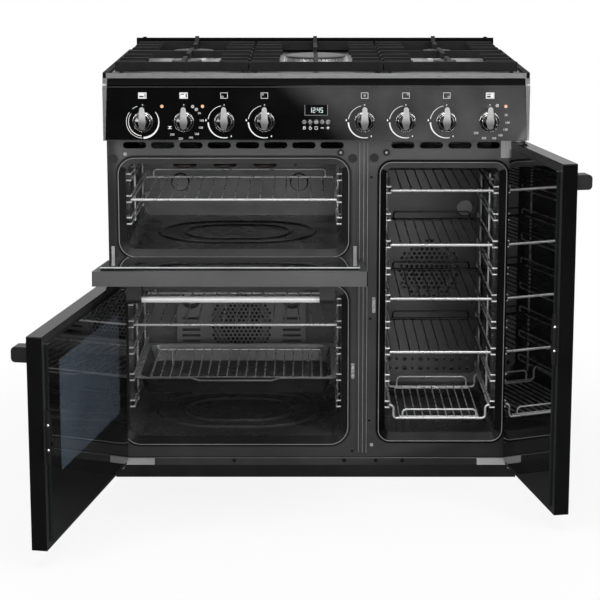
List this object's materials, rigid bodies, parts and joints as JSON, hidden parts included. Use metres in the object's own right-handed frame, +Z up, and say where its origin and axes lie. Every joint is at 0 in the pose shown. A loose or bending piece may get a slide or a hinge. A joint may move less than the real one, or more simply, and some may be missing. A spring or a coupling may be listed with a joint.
{
  "type": "range cooker",
  "caption": "Freestanding range cooker with gas hob, drop-down grill oven, side-hinged main and tall ovens, wire shelves, roasting tray, turning knobs and push buttons.",
  "frame": {"origin": "on the floor under the middle of the oven facing's front face", "axes": "+Z up, the front faces -Y, +X to the viewer's right"},
  "size_m": [1.1222, 1.1075, 0.934],
  "materials": {
    "black_paint": "gloss",
    "black_enamel": "gloss vitreous enamel",
    "grey_enamel": "satin vitreous enamel",
    "frame_steel": "matt",
    "zinc_steel": "galvanised",
    "stainless": "satin",
    "chrome": "polished",
    "chrome_wire": "polished wire",
    "element": "oxidised",
    "lamp_glass": "clear",
    "motor": "satin",
    "display_glass": "dark",
    "brass": "cast and turned",
    "burner_alu": "cast",
    "cap_enamel": "satin enamel",
    "cast_iron": "matt enamel",
    "fittings": "bright zinc",
    "plastic": "matt",
    "door_glass": "dark tinted",
    "handle": "polished tube in dark end posts",
    "foot": "matt"
  },
  "bodies": {
    "cooker": {"base_frame": "frame_steel", "side_panels": "black_paint", "rear_cover": "zinc_steel", "plinth": "black_paint", "levelling_feet": "foot", "front_frame": "grey_enamel", "grill_cavity": "black_enamel", "main_cavity": "black_enamel", "tall_cavity": "black_enamel", "ladder_racks": "chrome_wire", "fan_covers": "element", "heating_elements": "element", "oven_lamps": "lamp_glass", "fan_motors": "motor", "control_panel": "black_paint", "panel_end_caps": "stainless", "clock_display": "display_glass", "control_valves": "brass", "hob_top": "stainless", "burner_heads": "burner_alu", "burner_caps": "cap_enamel", "pan_supports": "cast_iron", "frame_fittings": "fittings", "terminal_box": "plastic"},
    "main_door": {"main_door_panel": "black_paint", "main_door_glass": "door_glass", "main_door_handle": "handle", "main_door_fittings": "fittings"},
    "tall_door": {"tall_door_panel": "black_paint", "tall_door_glass": "door_glass", "tall_door_handle": "handle", "tall_door_fittings": "fittings"},
    "grill_door": {"grill_door_panel": "black_paint", "grill_door_glass": "door_glass", "grill_door_handle": "handle", "grill_door_fittings": "fittings"},
    "knob_1_body": {"knob_1": "chrome"},
    "knob_2_body": {"knob_2": "chrome"},
    "knob_3_body": {"knob_3": "chrome"},
    "knob_4_body": {"knob_4": "chrome"},
    "knob_5_body": {"knob_5": "chrome"},
    "knob_6_body": {"knob_6": "chrome"},
    "knob_7_body": {"knob_7": "chrome"},
    "knob_8_body": {"knob_8": "chrome"},
    "button_1_body": {"button_1": "chrome"},
    "button_2_body": {"button_2": "chrome"},
    "button_3_body": {"button_3": "chrome"},
    "button_4_body": {"button_4": "chrome"},
    "button_5_body": {"button_5": "chrome"},
    "grill_shelf_body": {"grill_shelf": "chrome_wire"},
    "main_shelf_body": {"main_shelf": "chrome_wire"},
    "roasting_tray_body": {"roasting_tray": "grey_enamel"},
    "tray_grid_body": {"tray_grid": "chrome_wire"},
    "tall_shelf_1_body": {"tall_shelf_1": "chrome_wire"},
    "tall_shelf_2_body": {"tall_shelf_2": "chrome_wire"},
    "tall_shelf_3_body": {"tall_shelf_3": "chrome_wire"},
    "tall_shelf_4_body": {"tall_shelf_4": "chrome_wire"},
    "low_rack_body": {"low_rack": "chrome_wire"},
    "main_fan_body": {"main_fan": "stainless"},
    "tall_fan_body": {"tall_fan": "stainless"}
  },
  "joints": [
    {"name": "main_door_hinge", "type": "hinge", "parent": "cooker", "child": "main_door", "pos_m": [-0.431, -0.024, 0.24], "axis": [0, 0, -1], "range_deg": [-100.4, 0]},
    {"name": "tall_door_hinge", "type": "hinge", "parent": "cooker", "child": "tall_door", "pos_m": [0.431, -0.024, 0.4], "axis": [0, 0, 1], "range_deg": [-100.7, 0]},
    {"name": "grill_door_hinge", "type": "hinge", "parent": "cooker", "child": "grill_door", "pos_m": [-0.17, -0.033, 0.475], "axis": [1, 0, 0], "range_deg": [-83, 0]},
    {"name": "knob_1_turn", "type": "hinge", "parent": "cooker", "child": "knob_1_body", "pos_m": [-0.366, -0.046, 0.797], "axis": [0, -1, 0], "range_deg": [-300, 0]},
    {"name": "knob_2_turn", "type": "hinge", "parent": "cooker", "child": "knob_2_body", "pos_m": [-0.279, -0.046, 0.797], "axis": [0, -1, 0], "range_deg": [-300, 0]},
    {"name": "knob_3_turn", "type": "hinge", "parent": "cooker", "child": "knob_3_body", "pos_m": [-0.194, -0.046, 0.797], "axis": [0, -1, 0], "range_deg": [0, 240]},
    {"name": "knob_4_turn", "type": "hinge", "parent": "cooker", "child": "knob_4_body", "pos_m": [-0.109, -0.046, 0.797], "axis": [0, -1, 0], "range_deg": [0, 240]},
    {"name": "knob_5_turn", "type": "hinge", "parent": "cooker", "child": "knob_5_body", "pos_m": [0.102, -0.046, 0.797], "axis": [0, -1, 0], "range_deg": [0, 240]},
    {"name": "knob_6_turn", "type": "hinge", "parent": "cooker", "child": "knob_6_body", "pos_m": [0.189, -0.046, 0.797], "axis": [0, -1, 0], "range_deg": [0, 240]},
    {"name": "knob_7_turn", "type": "hinge", "parent": "cooker", "child": "knob_7_body", "pos_m": [0.275, -0.046, 0.797], "axis": [0, -1, 0], "range_deg": [0, 240]},
    {"name": "knob_8_turn", "type": "hinge", "parent": "cooker", "child": "knob_8_body", "pos_m": [0.366, -0.046, 0.797], "axis": [0, -1, 0], "range_deg": [-300, 0]},
    {"name": "button_1_press", "type": "slide", "parent": "cooker", "child": "button_1_body", "axis": [0, 1, 0], "range_m": [0, 0.0015], "stiffness_N_per_m": 400},
    {"name": "button_2_press", "type": "slide", "parent": "cooker", "child": "button_2_body", "axis": [0, 1, 0], "range_m": [0, 0.0015], "stiffness_N_per_m": 400},
    {"name": "button_3_press", "type": "slide", "parent": "cooker", "child": "button_3_body", "axis": [0, 1, 0], "range_m": [0, 0.0015], "stiffness_N_per_m": 400},
    {"name": "button_4_press", "type": "slide", "parent": "cooker", "child": "button_4_body", "axis": [0, 1, 0], "range_m": [0, 0.0015], "stiffness_N_per_m": 400},
    {"name": "button_5_press", "type": "slide", "parent": "cooker", "child": "button_5_body", "axis": [0, 1, 0], "range_m": [0, 0.0015], "stiffness_N_per_m": 400},
    {"name": "grill_shelf_slide", "type": "slide", "parent": "cooker", "child": "grill_shelf_body", "axis": [0, -1, 0], "range_m": [0, 0.25]},
    {"name": "main_shelf_slide", "type": "slide", "parent": "cooker", "child": "main_shelf_body", "axis": [0, -1, 0], "range_m": [0, 0.25]},
    {"name": "roasting_tray_slide", "type": "slide", "parent": "cooker", "child": "roasting_tray_body", "axis": [0, -1, 0], "range_m": [0, 0.25]},
    {"name": "tall_shelf_1_slide", "type": "slide", "parent": "cooker", "child": "tall_shelf_1_body", "axis": [0, -1, 0], "range_m": [0, 0.25]},
    {"name": "tall_shelf_2_slide", "type": "slide", "parent": "cooker", "child": "tall_shelf_2_body", "axis": [0, -1, 0], "range_m": [0, 0.25]},
    {"name": "tall_shelf_3_slide", "type": "slide", "parent": "cooker", "child": "tall_shelf_3_body", "axis": [0, -1, 0], "range_m": [0, 0.25]},
    {"name": "tall_shelf_4_slide", "type": "slide", "parent": "cooker", "child": "tall_shelf_4_body", "axis": [0, -1, 0], "range_m": [0, 0.25]},
    {"name": "low_rack_slide", "type": "slide", "parent": "cooker", "child": "low_rack_body", "axis": [0, -1, 0], "range_m": [0, 0.2]},
    {"name": "tray_grid_lift", "type": "slide", "parent": "roasting_tray_body", "child": "tray_grid_body", "axis": [0, 0, 1], "range_m": [0, 0.03]},
    {"name": "main_fan_spin", "type": "hinge", "parent": "cooker", "child": "main_fan_body", "pos_m": [-0.177, 0.43, 0.252], "axis": [0, -1, 0], "continuous": true},
    {"name": "tall_fan_spin", "type": "hinge", "parent": "cooker", "child": "tall_fan_body", "pos_m": [0.2735, 0.43, 0.384], "axis": [0, -1, 0], "continuous": true}
  ]
}
